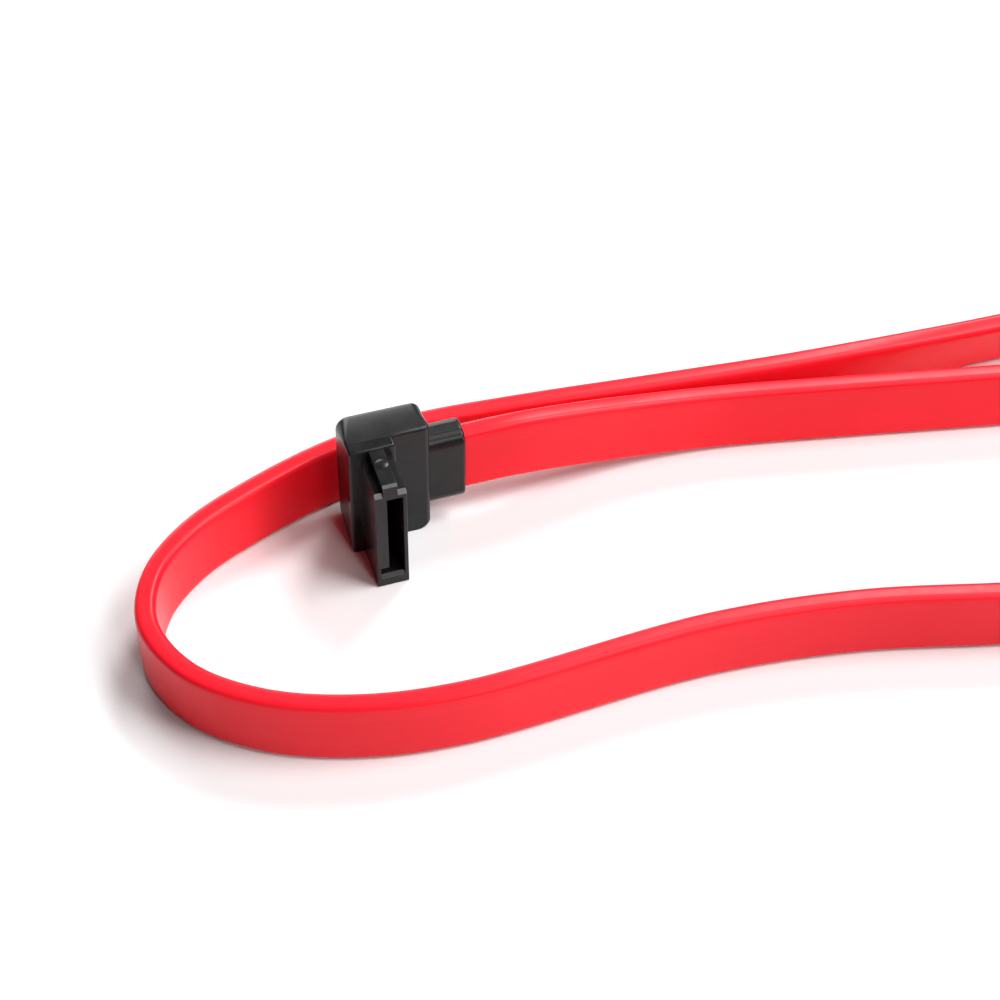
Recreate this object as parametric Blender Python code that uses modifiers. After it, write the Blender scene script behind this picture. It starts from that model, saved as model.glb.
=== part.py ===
"""A flat serial data cable, 0.45 m long, with a right-angle seven-contact plug at each end.

Plug A stands on its narrow end at the origin, with its mating nose towards -Y and its cable leaving towards +X.
The flat cable stands on its narrow edge, runs right, turns, comes back along the front, loops round behind plug A
and ends in plug B. Lengths are in millimetres in the values below and become metres where a shape is made.
"""

import math

import bmesh
import bpy
from mathutils import Matrix, Vector

MM = 0.001
EASED_FROM = math.radians(60)

# Mating nose: x runs across its thickness from its left face, y back from its front face, z up from the table
PLUG_TALL = 14.4
NOSE_LONG = 5.0
WALL_FOOT_SIDE = 1.3
WALL_THIN_SIDE = 0.5
WALL_UNDER_SLOT = 1.4
WALL_OVER_SLOT = 1.16
SLOT_WIDE = 1.4
SLOT_TALL = 10.57
SLOT_DEEP = 6.0
FOOT_REACH = 0.85
FOOT_TALL = 1.12
LEAD_IN_DEEP = 0.4
LEAD_IN_ENDS = 0.4
LEAD_IN_SIDES = 0.12
NOSE_EDGE = 0.15
FRONT_CHAMFER_DEEP = 0.4
FRONT_CHAMFER_RIB = 0.2
NOSE_THICK = WALL_FOOT_SIDE + SLOT_WIDE + WALL_THIN_SIDE
NOSE_TALL = WALL_UNDER_SLOT + SLOT_TALL + WALL_OVER_SLOT

# Key rib along the nose's narrow top side, with its friction bump
RIB_WIDE = 1.5
RIB_FROM_LEFT = 0.8
RIB_BELOW_FLANGE = 0.15
BUMP_ACROSS = 1.3
BUMP_HIGH = 0.22
BUMP_FROM_FRONT = 3.0

# Flange round the nose's root, and the block behind it that the overmould grips
FLANGE_THICK = 1.2
FLANGE_LEFT = 1.2
FLANGE_RIGHT = 0.4
GRIP_LONG = 1.0
GRIP_OVERHANG = 0.2
GRIP_END_MARGIN = 1.0

# Contacts
CONTACTS = 7
CONTACT_PITCH = 1.27
CONTACT_WIDE = 0.5
CONTACT_THICK = 0.2
CONTACT_BOW = 0.3
SPRING_TIP_GAP = 0.3
SPRING_LONG = 3.6
SPRING_STEPS = 8
TAIL_BEND = 0.35
TAIL_BEND_STEPS = 3
TAIL_LONG = 2.4
CHANNEL_DEEP = 0.85
CHANNEL_SIDE_GAP = 0.1
CHANNEL_FROM_FRONT = 0.7

# Overmould and strain relief
SEAM = 0.05
BODY_DEEP = 4.55
BODY_RIGHT_OF_NOSE = 4.2
BODY_BACK_RADIUS = 1.5
BODY_CORNER_RADIUS = 1.4
BODY_EDGE = 0.3
RELIEF_LONG = 3.8
RELIEF_THICK = 3.5
RELIEF_TALL = 9.2
RELIEF_RADIUS = 0.75
POCKET_GAP = 0.1
CHAMBER_DEEP = 2.1
CHAMBER_WALL = 0.5
CHAMBER_END_MARGIN = 2.2

# Flat cable
CABLE_WIDE = 7.7
CABLE_THICK = 2.1
CABLE_SIDES = 3
CABLE_IN_RELIEF = 3.4
CABLE_GAP = 0.06
CABLE_CLEAR = 0.05
CABLE_POINTS = 79
LEAN_MOST = 18.0

# Wire ends between the jacket and the contacts' tails
SIGNAL_ACROSS = 0.9
CORE_ACROSS = 0.4
WIRE_GAP = 0.1
WIRE_FAN_LEAD = 0.3
WIRE_FAN_END = 0.7
WIRE_FAN_STEPS = 6
STRIPPED_STEP = 0.02
BARE_TIP = 1.9
WIRE_PLACES_IN_CABLE = (-3.0, -2.1, -1.1, 0.0, 1.1, 2.1, 3.0)
GROUND_CONTACTS = (0, 3, 6)

# Sizes that follow from those above
BODY_LEFT = -FLANGE_LEFT
BODY_RIGHT = NOSE_THICK + BODY_RIGHT_OF_NOSE
RELIEF_END = BODY_RIGHT + RELIEF_LONG
FLANGE_BACK = NOSE_LONG + FLANGE_THICK
BODY_FRONT = FLANGE_BACK + SEAM
BODY_BACK = BODY_FRONT + BODY_DEEP
GRIP_BACK = FLANGE_BACK + GRIP_LONG
CABLE_LEVEL = PLUG_TALL / 2
RIB_TOP = PLUG_TALL - RIB_BELOW_FLANGE
CHAMBER_FRONT = GRIP_BACK + POCKET_GAP
CABLE_FROM_NOSE_FRONT = CHAMBER_FRONT + CHAMBER_DEEP / 2
SLOT_LEFT = WALL_FOOT_SIDE
SLOT_RIGHT = SLOT_LEFT + SLOT_WIDE
SLOT_BOTTOM = WALL_UNDER_SLOT
SLOT_TOP = SLOT_BOTTOM + SLOT_TALL
CONTACT_X = SLOT_LEFT - CHANNEL_DEEP / 2
PLUG_MIDDLE = Vector(((BODY_LEFT + RELIEF_END) / 2, BODY_BACK / 2, 0))

# Where the plugs stand, and the route of the cable's middle line between their mouths: x, y and lean in degrees
PLUG_A = (0.0, 0.0, 0.0)
PLUG_B = (80.0, -46.0, 22.0)
CABLE_REST = CABLE_WIDE / 2 + CABLE_CLEAR
ROUTE = (
    (12.0, 2.95, 7.15, 0),
    (19.0, 3.4, 6.1, 0),
    (26.5, 3.85, 4.7, 0),
    (35.0, 3.3, 4.0, 0),
    (48.0, 0.9, CABLE_REST, 0),
    (65.0, -2.5, CABLE_REST, 0),
    (82.0, -5.6, CABLE_REST, 0),
    (92.7, -10.6, CABLE_REST, 0),
    (97.3, -20.4, CABLE_REST, 0),
    (92.1, -30.2, CABLE_REST, 0),
    (80.5, -34.4, CABLE_REST, 0),
    (66.0, -33.2, CABLE_REST, 0),
    (51.4, -29.9, CABLE_REST, 0),
    (37.0, -26.4, CABLE_REST, 0),
    (22.5, -24.8, CABLE_REST, 0),
    (-2.5, -25.6, CABLE_REST, 0),
    (-12.0, -24.2, CABLE_REST, 0),
    (-20.2, -20.9, CABLE_REST, 0),
    (-26.0, -15.8, CABLE_REST, 0),
    (-28.3, -9.3, CABLE_REST, 0),
    (-26.6, -3.4, CABLE_REST, 0),
    (-22.0, 1.3, CABLE_REST, 0),
    (-15.4, 4.7, CABLE_REST, 0),
    (-5.5, 8.0, CABLE_REST, 0),
    (3.0, 8.95, CABLE_REST, 0),
    (13.0, 8.5, CABLE_REST, 0),
    (29.0, 7.1, CABLE_REST, 0),
    (45.0, 5.9, CABLE_REST, 2),
    (67.2, 5.9, CABLE_REST, LEAN_MOST),
    (82.5, 5.4, CABLE_REST, 8),
    (97.5, 1.8, CABLE_REST, 0),
    (108.3, -6.8, CABLE_REST, 0),
    (112.6, -18.8, CABLE_REST, 0),
    (109.4, -30.6, 4.6, 0),
    (100.3, -37.9, 6.3, 0),
)


def plug_point(x, y, z):
    """A point of the plug's own drawing, in metres from the middle of its foot."""
    return (Vector((x, y, z)) - PLUG_MIDDLE) * MM


def new_object(name, data, home, material=None):
    obj = bpy.data.objects.new(name, data)
    home.objects.link(obj)
    if material:
        data.materials.append(material)
    return obj


def bmesh_object(name, bm, home, material=None):
    """Ends a bmesh as an object with its faces outwards."""
    bmesh.ops.recalc_face_normals(bm, faces=bm.faces)
    mesh = bpy.data.meshes.new(name)
    bm.to_mesh(mesh)
    bm.free()
    return new_object(name, mesh, home, material)


def box_bmesh(low, high):
    """A box between two corners of the plug's own drawing."""
    bm = bmesh.new()
    size = [high[i] - low[i] for i in range(3)]
    middle = [(high[i] + low[i]) / 2 for i in range(3)]
    place = Matrix.Translation(plug_point(*middle)) @ Matrix.Diagonal((*[s * MM for s in size], 1))
    bmesh.ops.create_cube(bm, size=1, matrix=place)
    return bm


def prism_bmesh(rings):
    """A body through rings of equal point counts, each a list of points in the plug's own drawing."""
    bm = bmesh.new()
    loops = [[bm.verts.new(plug_point(*point)) for point in ring] for ring in rings]
    count = len(rings[0])
    for near, far in zip(loops, loops[1:]):
        for i in range(count):
            after = (i + 1) % count
            bm.faces.new((near[i], near[after], far[after], far[i]))
    bm.faces.new(loops[0])
    bm.faces.new(reversed(loops[-1]))
    return bm


def ease_edges(bm, width):
    """Chamfers every outer edge of a shape, and leaves its inner corners sharp."""
    bmesh.ops.recalc_face_normals(bm, faces=bm.faces)
    outer = [edge for edge in bm.edges if edge.calc_face_angle_signed(0) > EASED_FROM]
    bmesh.ops.bevel(bm, geom=outer, affect="EDGES", offset=width * MM, segments=1, profile=0.5, material=-1)


def cut(obj, cutter):
    cutter.hide_render = True
    cutter.display_type = "WIRE"
    boolean = obj.modifiers.new(cutter.name, "BOOLEAN")
    boolean.operation = "DIFFERENCE"
    boolean.object = cutter


def join(obj, other):
    other.hide_render = True
    other.display_type = "WIRE"
    boolean = obj.modifiers.new(other.name, "BOOLEAN")
    boolean.operation = "UNION"
    boolean.object = other


def material(name, colour, roughness, metallic=0.0):
    made = bpy.data.materials.new(name)
    made.use_nodes = True
    shader = made.node_tree.nodes["Principled BSDF"]
    shader.inputs["Base Color"].default_value = (*colour, 1)
    shader.inputs["Roughness"].default_value = roughness
    shader.inputs["Metallic"].default_value = metallic
    return made


def nose_ring(y):
    """The nose's outline at one depth: a rectangle with the key rib on its top side, both lower at the very front."""
    rib_left = RIB_FROM_LEFT
    rib_right = RIB_FROM_LEFT + RIB_WIDE
    chamfered = max(0.0, 1 - y / FRONT_CHAMFER_DEEP)
    floor = NOSE_TALL - FRONT_CHAMFER_DEEP * chamfered
    rib_top = RIB_TOP - FRONT_CHAMFER_RIB * chamfered
    outline = (
        (0, 0),
        (NOSE_THICK, 0),
        (NOSE_THICK, floor),
        (rib_right, floor),
        (rib_right, rib_top),
        (rib_left, rib_top),
        (rib_left, floor),
        (0, floor),
    )
    return [(x, y, z) for x, z in outline]


def slot_ring(y):
    """The L of the slot at one depth: it flares towards the front, most at its two narrow ends."""
    flare = max(0.0, 1 - y / LEAD_IN_DEEP)
    side = LEAD_IN_SIDES * flare
    end = LEAD_IN_ENDS * flare
    foot_left = SLOT_LEFT - FOOT_REACH - side
    foot_top = SLOT_BOTTOM + FOOT_TALL + side
    outline = (
        (foot_left, SLOT_BOTTOM - end),
        (SLOT_RIGHT + side, SLOT_BOTTOM - end),
        (SLOT_RIGHT + side, SLOT_TOP + end),
        (SLOT_LEFT - side, SLOT_TOP + end),
        (SLOT_LEFT - side, foot_top),
        (foot_left, foot_top),
    )
    return [(x, y, z) for x, z in outline]


def contact_level(index):
    return CABLE_LEVEL + (index - (CONTACTS - 1) / 2) * CONTACT_PITCH


def make_insulator(name, home, cutters, finish):
    """Nose and flange with eased edges, joined with the grip block and the bump, then the slot and channels cut."""
    past_end = 0.3
    inside_flange = NOSE_LONG + FLANGE_THICK / 2
    rings = [nose_ring(0), nose_ring(FRONT_CHAMFER_DEEP), nose_ring(inside_flange)]
    nose = prism_bmesh(rings)
    ease_edges(nose, NOSE_EDGE)
    body = bmesh_object(name, nose, home, finish)
    flange_low = (BODY_LEFT, NOSE_LONG, 0)
    flange_high = (NOSE_THICK + FLANGE_RIGHT, FLANGE_BACK, PLUG_TALL)
    flange = box_bmesh(flange_low, flange_high)
    ease_edges(flange, NOSE_EDGE)
    join(body, bmesh_object(f"{name}.flange", flange, cutters))
    grip_low = (-GRIP_OVERHANG, FLANGE_BACK - FLANGE_THICK / 2, GRIP_END_MARGIN)
    grip_high = (NOSE_THICK + GRIP_OVERHANG, GRIP_BACK, PLUG_TALL - GRIP_END_MARGIN)
    join(body, bmesh_object(f"{name}.grip", box_bmesh(grip_low, grip_high), cutters))

    bump = bmesh.new()
    centre = plug_point(RIB_FROM_LEFT + RIB_WIDE / 2, BUMP_FROM_FRONT, RIB_TOP)
    dome = Matrix.Diagonal((BUMP_ACROSS * MM / 2, BUMP_ACROSS * MM / 2, BUMP_HIGH * MM, 1))
    bmesh.ops.create_uvsphere(bump, u_segments=16, v_segments=8, radius=1, matrix=Matrix.Translation(centre) @ dome)
    join(body, bmesh_object(f"{name}.bump", bump, cutters))

    slot = prism_bmesh([slot_ring(-past_end), slot_ring(LEAD_IN_DEEP), slot_ring(SLOT_DEEP)])
    cut(body, bmesh_object(f"{name}.slot", slot, cutters))
    for index in range(CONTACTS):
        level = contact_level(index)
        half = CONTACT_WIDE / 2 + CHANNEL_SIDE_GAP
        low = (SLOT_LEFT - CHANNEL_DEEP, CHANNEL_FROM_FRONT, level - half)
        high = (SLOT_LEFT + CONTACT_THICK, GRIP_BACK + past_end, level + half)
        cut(body, bmesh_object(f"{name}.channel_{index + 1}", box_bmesh(low, high), cutters))
    return body


def contact_path():
    """The strip's middle line seen from above: spring tip, bow in the slot, straight root, solder tail."""
    root = CONTACT_X
    rise = SLOT_LEFT + CONTACT_BOW - root
    tip_y = CHANNEL_FROM_FRONT + SPRING_TIP_GAP
    tail_y = CABLE_FROM_NOSE_FRONT - (CORE_ACROSS + CONTACT_THICK) / 2 - CABLE_GAP
    path = []
    for step in range(SPRING_STEPS + 1):
        share = step / SPRING_STEPS
        path.append((root + rise * math.sin(math.pi * share) ** 2, tip_y + SPRING_LONG * share))
    for step in range(TAIL_BEND_STEPS + 1):
        angle = math.pi / 2 * step / TAIL_BEND_STEPS
        path.append((root + TAIL_BEND * (1 - math.cos(angle)), tail_y - TAIL_BEND * (1 - math.sin(angle))))
    path.append((root + TAIL_LONG, tail_y))
    return path


def make_contact(name, index, home, finish):
    """A strip of metal: its line is drawn, drawn up to its width, and thickened."""
    bm = bmesh.new()
    low = contact_level(index) - CONTACT_WIDE / 2
    points = [bm.verts.new(plug_point(x, y, low)) for x, y in contact_path()]
    edges = [bm.edges.new(pair) for pair in zip(points, points[1:])]
    raised = bmesh.ops.extrude_edge_only(bm, edges=edges)["geom"]
    upper = [part for part in raised if isinstance(part, bmesh.types.BMVert)]
    bmesh.ops.translate(bm, verts=upper, vec=(0, 0, CONTACT_WIDE * MM))
    strip = bmesh_object(name, bm, home, finish)
    solid = strip.modifiers.new("metal thickness", "SOLIDIFY")
    solid.thickness = CONTACT_THICK * MM
    solid.offset = 0
    return strip


def make_overmould(name, home, cutters, finish):
    """The rounded body and its strain relief, hollowed for the insulator's grip block, the wires and the cable."""
    past_end = 0.5
    body = box_bmesh((BODY_LEFT, BODY_FRONT, 0), (BODY_RIGHT, BODY_BACK, PLUG_TALL))
    right = plug_point(BODY_RIGHT, 0, 0).x
    back = plug_point(0, BODY_BACK, 0).y
    near = 1e-6
    lower_right = [
        edge for edge in body.edges
        if all(abs(vert.co.x - right) < near and abs(vert.co.z) < near for vert in edge.verts)
    ]
    bmesh.ops.bevel(
        body, geom=lower_right, affect="EDGES", offset=BODY_CORNER_RADIUS * MM, segments=5, profile=0.5, material=-1
    )
    back_rim = [edge for edge in body.edges if all(abs(vert.co.y - back) < near for vert in edge.verts)]
    bmesh.ops.bevel(
        body, geom=back_rim, affect="EDGES", offset=BODY_BACK_RADIUS * MM, segments=5, profile=0.5, material=-1,
        clamp_overlap=True,
    )
    mould = bmesh_object(name, body, home, finish)
    ease = mould.modifiers.new("eased edges", "BEVEL")
    ease.width = BODY_EDGE * MM
    ease.segments = 2
    ease.angle_limit = EASED_FROM

    half_thick = RELIEF_THICK / 2
    half_tall = RELIEF_TALL / 2
    relief_root = BODY_RIGHT - RELIEF_LONG / 4
    low = (relief_root, CABLE_FROM_NOSE_FRONT - half_thick, CABLE_LEVEL - half_tall)
    high = (RELIEF_END, CABLE_FROM_NOSE_FRONT + half_thick, CABLE_LEVEL + half_tall)
    relief = box_bmesh(low, high)
    bmesh.ops.bevel(
        relief, geom=relief.edges[:], affect="EDGES", offset=RELIEF_RADIUS * MM, segments=3, profile=0.5, material=-1
    )
    join(mould, bmesh_object(f"{name}.relief", relief, cutters))

    gap = POCKET_GAP
    low = (-GRIP_OVERHANG - gap, BODY_FRONT - past_end, GRIP_END_MARGIN - gap)
    high = (NOSE_THICK + GRIP_OVERHANG + gap, CHAMBER_FRONT + gap, PLUG_TALL - GRIP_END_MARGIN + gap)
    cut(mould, bmesh_object(f"{name}.pocket", box_bmesh(low, high), cutters))
    low = (BODY_LEFT + CHAMBER_WALL, CHAMBER_FRONT, CHAMBER_END_MARGIN)
    high = (BODY_RIGHT - CHAMBER_WALL, CHAMBER_FRONT + CHAMBER_DEEP, PLUG_TALL - CHAMBER_END_MARGIN)
    cut(mould, bmesh_object(f"{name}.chamber", box_bmesh(low, high), cutters))

    half = CABLE_THICK / 2 + CABLE_GAP
    rim = CABLE_WIDE / 2 + CABLE_GAP
    low = (BODY_RIGHT - CHAMBER_WALL - past_end, CABLE_FROM_NOSE_FRONT - half, CABLE_LEVEL - rim)
    high = (RELIEF_END + past_end, CABLE_FROM_NOSE_FRONT + half, CABLE_LEVEL + rim)
    passage = box_bmesh(low, high)
    along = [edge for edge in passage.edges if abs(edge.verts[0].co.x - edge.verts[1].co.x) > near]
    bmesh.ops.bevel(
        passage, geom=along, affect="EDGES", offset=(half - CABLE_GAP / 2) * MM, segments=4, profile=0.5, material=-1
    )
    cut(mould, bmesh_object(f"{name}.passage", passage, cutters))
    return mould


def make_wire(name, index, home, finish):
    """One wire end: it fans from its place in the cable to its contact, bare where it lies on the tail."""
    bare = index in GROUND_CONTACTS
    across = CORE_ACROSS if bare else SIGNAL_ACROSS
    start = RELIEF_END - CABLE_IN_RELIEF - WIRE_GAP
    tail_end = CONTACT_X + TAIL_LONG
    from_level = CABLE_LEVEL + WIRE_PLACES_IN_CABLE[index]
    to_level = contact_level(index)
    fan_from = start - WIRE_FAN_LEAD
    fan_to = tail_end + WIRE_FAN_END
    stops = [(start, from_level, across)]
    for step in range(WIRE_FAN_STEPS + 1):
        share = step / WIRE_FAN_STEPS
        eased = share * share * (3 - 2 * share)
        stops.append((fan_from + (fan_to - fan_from) * share, from_level + (to_level - from_level) * eased, across))
    strip_at = tail_end + WIRE_GAP * 2
    stops.append((strip_at, to_level, across))
    if not bare:
        stops.append((strip_at - STRIPPED_STEP, to_level, CORE_ACROSS))
    stops.append((tail_end - BARE_TIP, to_level, CORE_ACROSS))

    curve = bpy.data.curves.new(name, "CURVE")
    curve.dimensions = "3D"
    curve.bevel_depth = MM / 2
    curve.bevel_resolution = 1
    curve.use_fill_caps = True
    spline = curve.splines.new("POLY")
    spline.points.add(len(stops) - 1)
    for point, (x, level, width) in zip(spline.points, stops):
        point.co = (*plug_point(x, CABLE_FROM_NOSE_FRONT, level), 1)
        point.radius = width
    return new_object(name, curve, home, finish)


def make_plug(letter, pose, home, cutters, finishes):
    """One whole plug, each piece hung on an empty that stands at the middle of the plug's foot."""
    stem = f"plug_{letter}"
    empty = new_object(f"{stem}_place", None, home)
    pieces = [
        make_insulator(f"{stem}_insulator", home, cutters, finishes["insulator"]),
        make_overmould(f"{stem}_overmould", home, cutters, finishes["overmould"]),
    ]
    for index in range(CONTACTS):
        pieces.append(make_contact(f"{stem}_contact_{index + 1}", index, home, finishes["contact"]))
        kind = "core" if index in GROUND_CONTACTS else "wire"
        pieces.append(make_wire(f"{stem}_wire_{index + 1}", index, home, finishes[kind]))
    for piece in pieces:
        piece.parent = empty
    for helper in cutters.objects:
        if helper.name.startswith(stem):
            helper.parent = empty
    x, y, turn = pose
    empty.location = (x * MM, y * MM, 0)
    empty.rotation_euler = (0, 0, math.radians(turn))


def cable_end(pose, into_relief):
    """The cable's middle line where it is that deep inside a plug's strain relief."""
    x, y, turn = pose
    point = Vector((RELIEF_END - into_relief, CABLE_FROM_NOSE_FRONT, CABLE_LEVEL)) - PLUG_MIDDLE
    point.rotate(Matrix.Rotation(math.radians(turn), 3, "Z"))
    return (point.x + x, point.y + y, point.z, 0)


def route_points():
    """Every chosen point of the route, from the jacket's end in plug A to its end in plug B."""
    run_out = 3.0
    start = [cable_end(PLUG_A, CABLE_IN_RELIEF), cable_end(PLUG_A, 0)]
    finish = [cable_end(PLUG_B, -run_out), cable_end(PLUG_B, 0), cable_end(PLUG_B, CABLE_IN_RELIEF)]
    return start + list(ROUTE) + finish


def smooth_line(points, steps):
    """Points along a centripetal Catmull-Rom curve through the given ones, four numbers each."""
    ends = [[2 * a - b for a, b in zip(points[0], points[1])], [2 * a - b for a, b in zip(points[-1], points[-2])]]
    padded = [ends[0], *points, ends[1]]
    line = []
    for p0, p1, p2, p3 in zip(padded, padded[1:], padded[2:], padded[3:]):
        knots = [0.0]
        for a, b in ((p0, p1), (p1, p2), (p2, p3)):
            knots.append(knots[-1] + math.sqrt(math.dist(a[:3], b[:3])))
        t0, t1, t2, t3 = knots
        for step in range(steps):
            t = t1 + (t2 - t1) * step / steps
            sample = []
            for a, b, c, d in zip(p0, p1, p2, p3):
                ab = a + (b - a) * (t - t0) / (t1 - t0)
                bc = b + (c - b) * (t - t1) / (t2 - t1)
                cd = c + (d - c) * (t - t2) / (t3 - t2)
                abc = ab + (bc - ab) * (t - t0) / (t2 - t0)
                bcd = bc + (cd - bc) * (t - t1) / (t3 - t1)
                sample.append(abc + (bcd - abc) * (t - t1) / (t2 - t1))
            line.append(sample)
    line.append(list(points[-1]))
    return line


def even_points(line, count):
    """The same curve with its points an equal way apart."""
    along = [0.0]
    for a, b in zip(line, line[1:]):
        along.append(along[-1] + math.dist(a[:3], b[:3]))
    even = []
    place = 0
    for i in range(count):
        target = along[-1] * i / (count - 1)
        while place < len(line) - 2 and along[place + 1] < target:
            place += 1
        share = (target - along[place]) / (along[place + 1] - along[place])
        even.append([a + (b - a) * share for a, b in zip(line[place], line[place + 1])])
    return even, along[-1]


def make_cable(home, finish):
    """The flat jacket: a ribbon drawn along the route, standing on edge, rounded by its bevel."""
    line, length = even_points(smooth_line(route_points(), 24), CABLE_POINTS)
    print(f"cable length {length:.1f} mm")
    curve = bpy.data.curves.new("cable_jacket", "CURVE")
    curve.dimensions = "3D"
    curve.twist_mode = "Z_UP"
    curve.extrude = (CABLE_WIDE - CABLE_THICK) / 2 * MM
    curve.bevel_depth = CABLE_THICK / 2 * MM
    curve.bevel_resolution = CABLE_SIDES
    curve.use_fill_caps = True
    spline = curve.splines.new("POLY")
    spline.points.add(len(line) - 1)
    for point, (x, y, z, lean) in zip(spline.points, line):
        point.co = (x * MM, y * MM, z * MM, 1)
        point.tilt = math.radians(lean)
    return new_object("cable_jacket", curve, home, finish)


def main():
    for obj in list(bpy.data.objects):
        bpy.data.objects.remove(obj)
    home = bpy.data.collections.new("flat serial data cable")
    cutters = bpy.data.collections.new("cutters and joined shapes")
    bpy.context.scene.collection.children.link(home)
    bpy.context.scene.collection.children.link(cutters)
    finishes = {
        "insulator": material("black hard plastic", (0.012, 0.012, 0.013), 0.35),
        "overmould": material("black soft plastic", (0.016, 0.016, 0.017), 0.5),
        "contact": material("gold plating", (0.83, 0.6, 0.2), 0.25, 1.0),
        "wire": material("white wire insulation", (0.75, 0.75, 0.72), 0.5),
        "core": material("tinned copper", (0.75, 0.73, 0.7), 0.3, 1.0),
    }
    make_plug("a", PLUG_A, home, cutters, finishes)
    make_plug("b", PLUG_B, home, cutters, finishes)
    make_cable(home, material("red jacket", (0.75, 0.02, 0.035), 0.4))


main()
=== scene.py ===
# %% [markdown]
# # A flat data cable with right-angle plugs
#
# This notebook dresses a finished construction model of a flat red data cable. The construction
# model is fixed: it says where every piece is and how large it is. Each step below explains what a
# piece or a finish is on the real cable, how it could be made in Blender, and why one way was
# chosen.
#
# The cable has a black plug at each end. Plug A stands in front of the camera, plug B lies outside
# the picture. Every piece of a plug is made once, where plug A stands, and a copy is turned and
# moved to plug B.

# %% Load the fixed model
import math

import bmesh
import bpy
from mathutils import Matrix, Vector


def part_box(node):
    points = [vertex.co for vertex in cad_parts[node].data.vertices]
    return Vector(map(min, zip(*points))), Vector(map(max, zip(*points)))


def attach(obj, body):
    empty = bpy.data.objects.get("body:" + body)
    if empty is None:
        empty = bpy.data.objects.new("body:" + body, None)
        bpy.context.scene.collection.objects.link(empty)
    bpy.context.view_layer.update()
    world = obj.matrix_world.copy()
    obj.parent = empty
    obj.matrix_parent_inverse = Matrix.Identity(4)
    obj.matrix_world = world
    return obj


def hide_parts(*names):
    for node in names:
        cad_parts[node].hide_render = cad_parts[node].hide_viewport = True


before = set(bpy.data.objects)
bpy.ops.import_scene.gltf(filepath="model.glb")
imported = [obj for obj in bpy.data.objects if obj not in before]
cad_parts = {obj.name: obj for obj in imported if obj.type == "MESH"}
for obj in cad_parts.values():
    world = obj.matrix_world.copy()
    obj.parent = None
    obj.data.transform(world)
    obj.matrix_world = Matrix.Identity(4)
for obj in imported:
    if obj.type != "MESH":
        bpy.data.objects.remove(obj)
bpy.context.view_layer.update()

# %% [markdown]
# ## The drawing of a plug
#
# A plug is easiest to think about in its own drawing: x runs across the mating nose from its left
# face, y runs back from the nose's front face, and z runs up from the table, all in millimetres.
# The frame gives the outer sizes. The rest are standard sizes of this connector, or were read from
# its picture.

# %% Sizes of a plug
MM = 0.001
insulator_low, insulator_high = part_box("plug_a_insulator")
overmould_low, overmould_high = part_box("plug_a_overmould")

FLANGE_LEFT = 1.2
corner_x = insulator_low.x / MM + FLANGE_LEFT
corner_y = insulator_low.y / MM

BODY_LEFT = -FLANGE_LEFT
BODY_FRONT = overmould_low.y / MM - corner_y
BODY_BACK = overmould_high.y / MM - corner_y
PLUG_TALL = overmould_high.z / MM
RELIEF_END = overmould_high.x / MM - corner_x
FLANGE_RIGHT_FACE = insulator_high.x / MM - corner_x
CABLE_LEVEL = PLUG_TALL / 2

PLUG_B_SHIFT = (0.080, -0.046, 0)
PLUG_B_TURN = math.radians(22)
PLUG_B_PLACE = Matrix.Translation(PLUG_B_SHIFT) @ Matrix.Rotation(PLUG_B_TURN, 4, "Z")
print(f"plug: {PLUG_TALL:.1f} mm tall, body {BODY_BACK - BODY_FRONT:.2f} mm deep")


def drawn(x, y, z):
    """A point of the plug's drawing, as a place in the scene in metres."""
    return Vector((x + corner_x, y + corner_y, z)) * MM


# %% [markdown]
# ## Camera
#
# The picture was taken from above and a little to the left with a long lens, so parallel edges stay
# nearly parallel. The place, turn and lens were found by fitting the plug's edges and the cable's
# outline to the picture.

# %% Camera
CAMERA_PLACE = (-0.037135, -0.137639, 0.159613)
CAMERA_TURN = (42.776, -0.713, -17.915)
CAMERA_LENS = 75.6

camera_data = bpy.data.cameras.new("camera")
camera_data.lens = CAMERA_LENS
camera_data.sensor_width = 36
camera_data.clip_start = 0.01
camera = bpy.data.objects.new("camera", camera_data)
camera.location = CAMERA_PLACE
camera.rotation_euler = [math.radians(angle) for angle in CAMERA_TURN]
bpy.context.scene.collection.objects.link(camera)
bpy.context.scene.camera = camera
bpy.context.view_layer.update()
print("camera", round(camera.location.length * 1000), "mm from the plug's foot")

# %% [markdown]
# ## Shader maths in plain Python
#
# A material is a web of small nodes, and writing it out link by link hides the idea. The two
# classes below let a material be written as sums and products: a Signal is one output socket with
# Python's operators on it, and a Recipe is one material with one method that adds any node.

# %% Signal and Recipe
class Signal:
    """One output socket of a material, with plain maths on it."""

    def __init__(self, recipe, socket):
        self.recipe = recipe
        self.socket = socket

    def maths(self, operation, *values):
        return self.recipe.node("ShaderNodeMath", dict(enumerate(values)), operation=operation)

    def __add__(self, other):
        return self.maths("ADD", self, other)

    def __sub__(self, other):
        return self.maths("SUBTRACT", self, other)

    def __rsub__(self, other):
        return self.maths("SUBTRACT", other, self)

    def __mul__(self, other):
        return self.maths("MULTIPLY", self, other)

    __radd__ = __add__
    __rmul__ = __mul__

    def between(self, low, high):
        """0 below low, 1 above high, and a smooth rise between."""
        values = {"Value": self, "From Min": low, "From Max": high}
        return self.recipe.node("ShaderNodeMapRange", values, interpolation_type="SMOOTHSTEP")


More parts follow.
